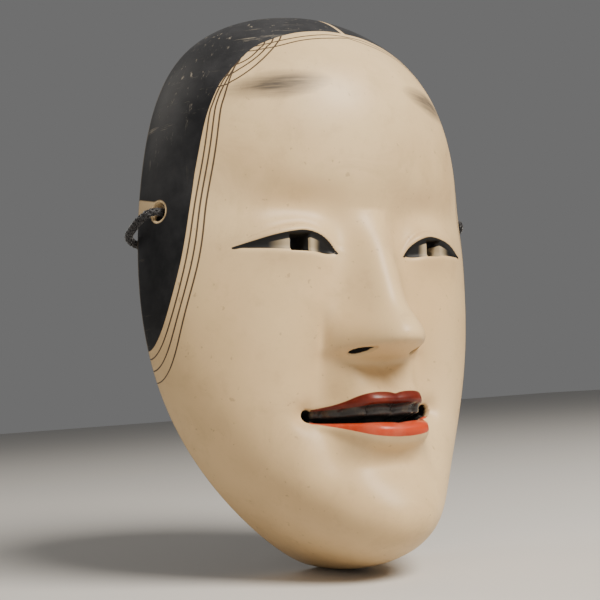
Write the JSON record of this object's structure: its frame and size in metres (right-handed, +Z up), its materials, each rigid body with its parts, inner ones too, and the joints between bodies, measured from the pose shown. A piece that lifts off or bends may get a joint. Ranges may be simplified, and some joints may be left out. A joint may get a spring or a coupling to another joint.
{
  "type": "noh mask",
  "caption": "Carved and painted wooden theatre mask of a young woman, hollow behind, with slit pupils, parted lips and a braided tie cord at each temple.",
  "frame": {"origin": "centre of the plane of the back rim, where the wearer's face comes", "axes": "+Z up towards the crown, +X to the viewer's right, the face looks along -Y and +Y points to the wearer"},
  "size_m": [0.1496, 0.0672, 0.212],
  "materials": {
    "painted_wood": "shell-white ground and aged paint on cypress wood",
    "silk_cord": "round braided silk, black",
    "tie_thread": "twisted thread, black"
  },
  "bodies": {
    "root": {"carved_shell": "painted_wood", "left_cord_loop": "silk_cord", "left_cord_knot": "silk_cord", "left_cord_tail": "silk_cord", "left_cord_hank": "silk_cord", "left_hank_tie": "tie_thread", "left_end_knot": "silk_cord", "right_cord_loop": "silk_cord", "right_cord_knot": "silk_cord", "right_cord_tail": "silk_cord", "right_cord_hank": "silk_cord", "right_hank_tie": "tie_thread", "right_end_knot": "silk_cord"}
  },
  "joints": []
}
